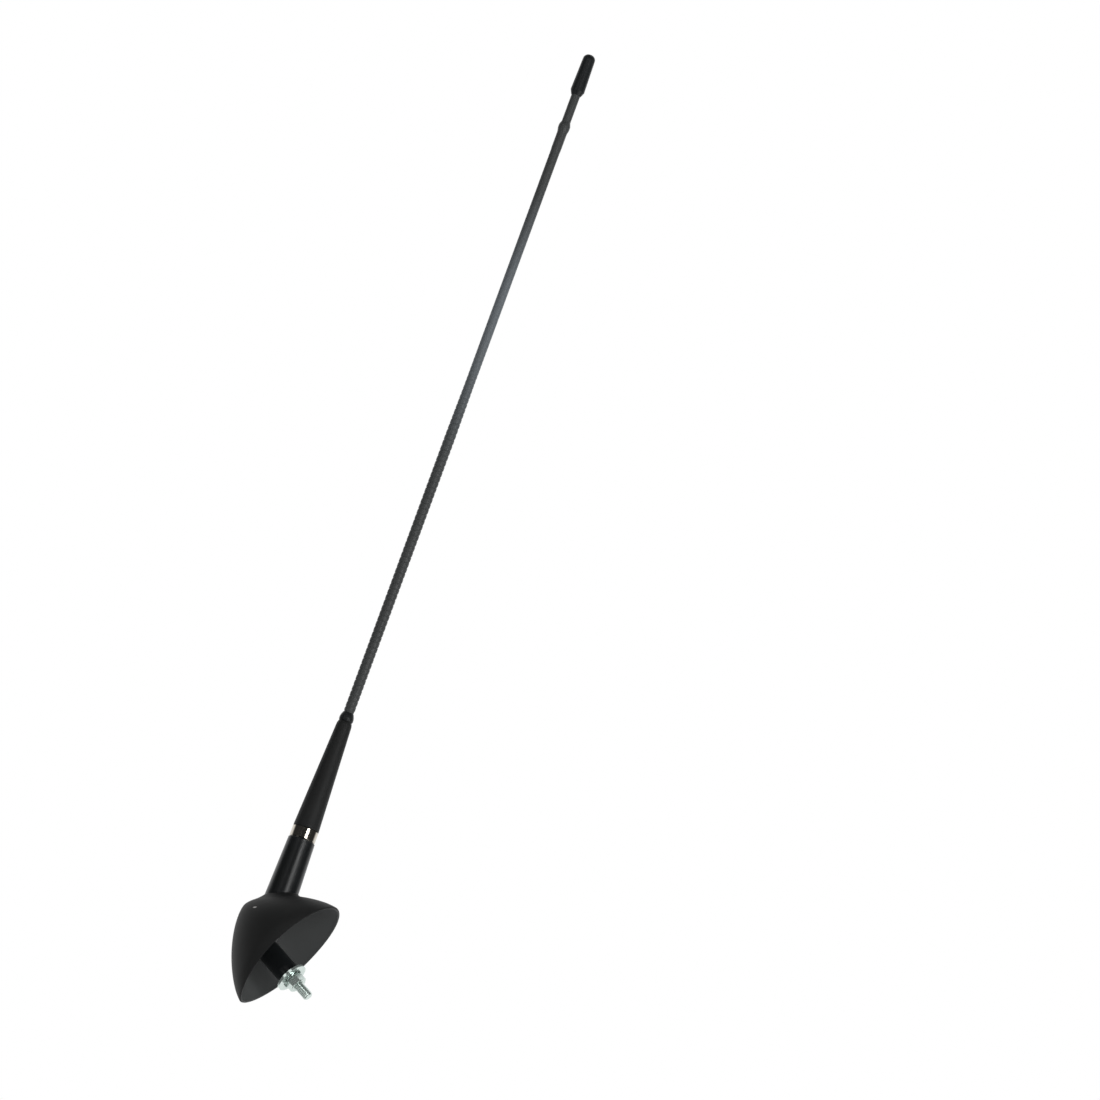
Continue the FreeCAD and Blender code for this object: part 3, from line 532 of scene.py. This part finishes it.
def makeSheath():
    # outline radius along the mast, less a helical groove: groove = depth * smooth dip of the
    # phase (turns - t), where pitch and depth both shrink round the top of the slope
    start, end = spanOf("whip_sheath", mastFrame)
    collarTop = spanOf("whip_collar", mastFrame)[1]
    s = {key: size * mm for key, size in sheath.items() if key.endswith("Mm")}
    slopeStart = collarTop + s["lowStretchMm"]
    slopeTop = slopeStart + s["slopeMm"]
    beadStart = spanOf("end_ring", mastFrame)[0] - s["beadToRingMm"]
    beadTop = beadStart + s["beadLongMm"]
    swellStart = beadStart - s["swellMm"]
    heights, radii = np.array([
        (start, s["spigotMm"]), (collarTop - s["mouthBelowMm"], s["spigotMm"]),
        (collarTop + s["mouthAboveMm"], s["lowCrestMm"]), (slopeStart, s["lowCrestMm"]),
        (slopeTop, s["midCrestMm"]), (swellStart - s["beadSlopeMm"], s["midCrestMm"]),
        (swellStart, s["topCrestMm"]), (beadStart, s["topCrestMm"]),
        (beadStart + s["beadSlopeMm"], s["beadMm"]), (beadTop - s["beadSlopeMm"], s["beadMm"]),
        (beadTop, s["sleeveMm"]), (end, s["sleeveMm"])]).T
    along = np.linspace(start, end, int((end - start) / s["rowMm"]))
    crest = np.interp(along, heights, radii)
    pitch = np.interp(along, [slopeStart, slopeTop + s["pitchPastMm"]],
                      [s["lowPitchMm"], s["highPitchMm"]])
    turns = np.concatenate([[0], np.cumsum(np.diff(along) / pitch[1:])])
    phase = helixPhase(turns, sheath["columns"])
    fromGroove = np.clip(np.minimum(phase, 1 - phase) / sheath["grooveShare"], 0, 1)
    dip = (1 - fromGroove) ** 2 * (1 + 2 * fromGroove)
    deep = s["ribDeepMm"] * np.interp(
        along, [slopeTop - s["deepBeforeMm"], slopeTop + s["deepPastMm"]],
        [1.0, sheath["highDeep"]])
    deep *= np.clip((along - collarTop) / s["ribFadeMm"], 0, 1)
    deep *= np.clip((beadStart - along) / s["ribFadeMm"], 0, 1)
    outer = turnedGrid(mastFrame, along, crest[:, None] - dip * deep[:, None],
                       sheath["columns"])
    bore = turnedGrid(mastFrame, np.array([end, start]), np.full(2, s["boreMm"]),
                      sheath["columns"])
    mesh = gridMesh("ribbed sheath", np.concatenate([outer, bore, outer[:1]]),
                    sheath["sharpDeg"], capped=False)
    addPiece("ribbedSheath", mesh, "mast", "whip_sheath")


makeSheath()


# Threaded pins

thread = {"pitchMm": 0.8, "deepMm": 0.42, "radiusMm": 2.5, "columns": 48, "rowsPerTurn": 10,
          "leadMm": 0.9, "earlyMm": 0.3, "blunt": 1.15, "sharpDeg": 35}
stud = {"edgeMm": 0.6, "headMm": 4.0, "shoulderMm": 2.0}
pin = {"edgeMm": 0.5, "headMm": 3.2}


def threadedPin(name, node, place, body, size, shoulder):
    # an outline carried along the pin's axis, chamfered below and with a wider head above the
    # shoulder, less a right-hand V groove up to there: radius = outline - depth * triangle of
    # the phase, where the triangle's tip is blunt
    low, high = spanOf(node, place)
    edge, head, radius = size["edgeMm"] * mm, size["headMm"] * mm, thread["radiusMm"] * mm
    outline = [(low, radius - edge), (low + edge, radius), (shoulder, radius),
               (shoulder, head), (high, head)]
    pitch, lead = thread["pitchMm"] * mm, thread["leadMm"] * mm
    rows = [outline[0]]
    for (start, startRadius), (end, endRadius) in zip(outline, outline[1:]):
        count = max(1, int(abs(end - start) / pitch * thread["rowsPerTurn"]))
        for step in np.linspace(0, 1, count + 1)[1:]:
            rows.append((start + (end - start) * step,
                         startRadius + (endRadius - startRadius) * step))
    along, plain = np.array(rows).T
    phase = helixPhase(along / pitch, thread["columns"])
    groove = np.clip(thread["blunt"] * (1 - 2 * np.abs(phase - 0.5)), 0, 1)
    fade = (np.clip((along - low + thread["earlyMm"] * mm) / lead, 0, 1)
            * np.clip((shoulder - along) / lead, 0, 1))
    cut = groove * (thread["deepMm"] * mm * fade)[:, None]
    points = turnedGrid(place, along, plain[:, None] - cut, thread["columns"])
    addPiece(name, gridMesh(name, points, thread["sharpDeg"]), body, node)


threadedPin("threadedRoofStud", "roof_stud", studFrame, "foot", stud, stud["shoulderMm"] * mm)
threadedPin("threadedMastPin", "mast_stud", mastFrame, "mast", pin,
            spanOf("mast_ring", mastFrame)[0])
print("stage 3: boot, base, sheath and threads made")


# Camera and light

photo = {"target": (0.2262, 0.0, 0.07324), "lookUp": math.radians(22.0),
         "roll": math.radians(42.0), "frameWidth": 0.52215, "lensMm": 600.0, "sensorMm": 36.0,
         "clipNear": 0.1, "clipFar": 100.0}
forward = Vector((0, math.cos(photo["lookUp"]), math.sin(photo["lookUp"])))
levelUp = Vector((0, -math.sin(photo["lookUp"]), math.cos(photo["lookUp"])))
levelRight = Vector((1, 0, 0))
cameraRight = math.cos(photo["roll"]) * levelRight - math.sin(photo["roll"]) * levelUp
cameraUp = math.sin(photo["roll"]) * levelRight + math.cos(photo["roll"]) * levelUp


def addCamera():
    # a long lens far off, below the roof's level, as the photograph shows the boot's inside
    data = bpy.data.cameras.new("camera")
    data.lens = photo["lensMm"]
    data.sensor_width = photo["sensorMm"]
    data.clip_start, data.clip_end = photo["clipNear"], photo["clipFar"]
    distance = photo["frameWidth"] * photo["lensMm"] / photo["sensorMm"]
    camera = bpy.data.objects.new("camera", data)
    bpy.context.scene.collection.objects.link(camera)
    turn = Matrix((cameraRight, cameraUp, -forward)).transposed()
    camera.matrix_world = Matrix.Translation(
        Vector(photo["target"]) - forward * distance) @ turn.to_4x4()
    bpy.context.scene.camera = camera


softboxes = [
    # name, place right / up / towards the camera in metres, width, height, watts, seen in gloss
    ("strip", (0.82, -0.2, 1.25), 0.3, 1.6, 9.0, True),
    ("fill", (-1.3, -1.7, 0.3), 2.0, 2.0, 19.0, False),
    ("under", (1.8, 0.3, 0.35), 1.6, 2.0, 13.0, False),
    ("low", (0.1, -1.7, 0.75), 1.6, 1.2, 3.8, True),
    ("front", (-0.8, 0.9, 1.35), 1.4, 1.4, 2.4, False),
    ("key", (-0.1, 0.3, 1.9), 1.0, 1.0, 2.5, False),
    ("glintHigh", (-0.37, 0.99, 1.05), 0.6, 0.6, 1.4, True),
    ("glintLeft", (-1.27, 0.18, 1.05), 0.6, 0.6, 1.4, True),
]


def addSoftbox(name, place, width, height, watts, inGloss):
    # a rectangle of light that faces the camera's target and is never seen itself
    data = bpy.data.lights.new(name, "AREA")
    data.shape = "RECTANGLE"
    data.size, data.size_y = width, height
    data.energy = watts
    light = bpy.data.objects.new(name, data)
    bpy.context.scene.collection.objects.link(light)
    right, up, back = place
    offset = cameraRight * right + cameraUp * up - forward * back
    light.location = Vector(photo["target"]) + offset
    light.rotation_euler = offset.to_track_quat("Z", "Y").to_euler()
    light.visible_glossy = inGloss
    light.visible_camera = False


def rayKinds(tree):
    # 1 for a ray from the camera, and 1 for a ray that gloss or glass sends on
    path = addNode(tree, "ShaderNodeLightPath")
    shiny = addNode(tree, "ShaderNodeMath", {"operation": "ADD", "use_clamp": True},
                    {0: path.outputs["Is Glossy Ray"], 1: path.outputs["Is Transmission Ray"]})
    return path.outputs["Is Camera Ray"], shiny.outputs[0]


room = {"plain": 0.14, "dim": 0.03, "edge": 0.15, "white": 0.6}


def addWorld():
    # a plain level lights the object; the camera, gloss and glass see the white background,
    # which for gloss ends at the sides, where the dim room on the camera's side begins
    world = bpy.data.worlds.new("studio")
    world.use_nodes = True
    bpy.context.scene.world = world
    tree = world.node_tree
    tree.nodes.clear()
    direction = addNode(tree, "ShaderNodeTexCoord").outputs["Generated"]
    ahead = addNode(tree, "ShaderNodeVectorMath", {"operation": "DOT_PRODUCT", 1: forward},
                    {0: direction})
    camera, shiny = rayKinds(tree)
    behind = addNode(tree, "ShaderNodeMapRange", {
        "interpolation_type": "SMOOTHSTEP", "From Min": room["edge"], "From Max": room["white"],
        "To Min": room["dim"], "To Max": 1.0}, {"Value": ahead.outputs["Value"]})
    seen = addNode(tree, "ShaderNodeMix", {"data_type": "FLOAT", 2: room["plain"]},
                   {0: shiny, 3: behind.outputs[0]})
    strength = addNode(tree, "ShaderNodeMix", {"data_type": "FLOAT", 3: 1.0},
                       {0: camera, 2: seen.outputs[0]})
    background = addNode(tree, "ShaderNodeBackground", {"Color": (1, 1, 1, 1)},
                         {"Strength": strength.outputs[0]})
    addNode(tree, "ShaderNodeOutputWorld", None, {"Surface": background.outputs[0]})


floor = {"drop": 9.5, "size": 6.0, "colour": "#f2f2f0", "rough": 0.9, "glow": 0.97}


def addFloor():
    # a pale floor far below, so that a camera under the roof's level still sees the foot; it
    # glows for the camera, gloss and glass alone
    half = floor["size"] / 2
    corners = [(-half, -half), (half, -half), (half, half), (-half, half)]
    mesh = bpy.data.meshes.new("floor")
    mesh.from_pydata([(x, y, -floor["drop"]) for x, y in corners], [], [(0, 1, 2, 3)])
    colour = linear(floor["colour"])
    material, tree, shader = startMaterial("pale studio floor", {
        "Base Color": colour, "Roughness": floor["rough"], "Emission Color": colour})[:3]
    camera, shiny = rayKinds(tree)
    seen = addNode(tree, "ShaderNodeMath", {"operation": "MAXIMUM"}, {0: camera, 1: shiny})
    glow = addNode(tree, "ShaderNodeMath", {"operation": "MULTIPLY", 1: floor["glow"]},
                   {0: seen.outputs[0]})
    tree.links.new(glow.outputs[0], shader.inputs["Emission Strength"])
    mesh.materials.append(material)
    plane = bpy.data.objects.new("floor", mesh)
    bpy.context.scene.collection.objects.link(plane)


addCamera()
for softbox in softboxes:
    addSoftbox(*softbox)
addWorld()
addFloor()
bpy.context.scene.view_settings.view_transform = "Standard"
print("stage 4: camera and light set")
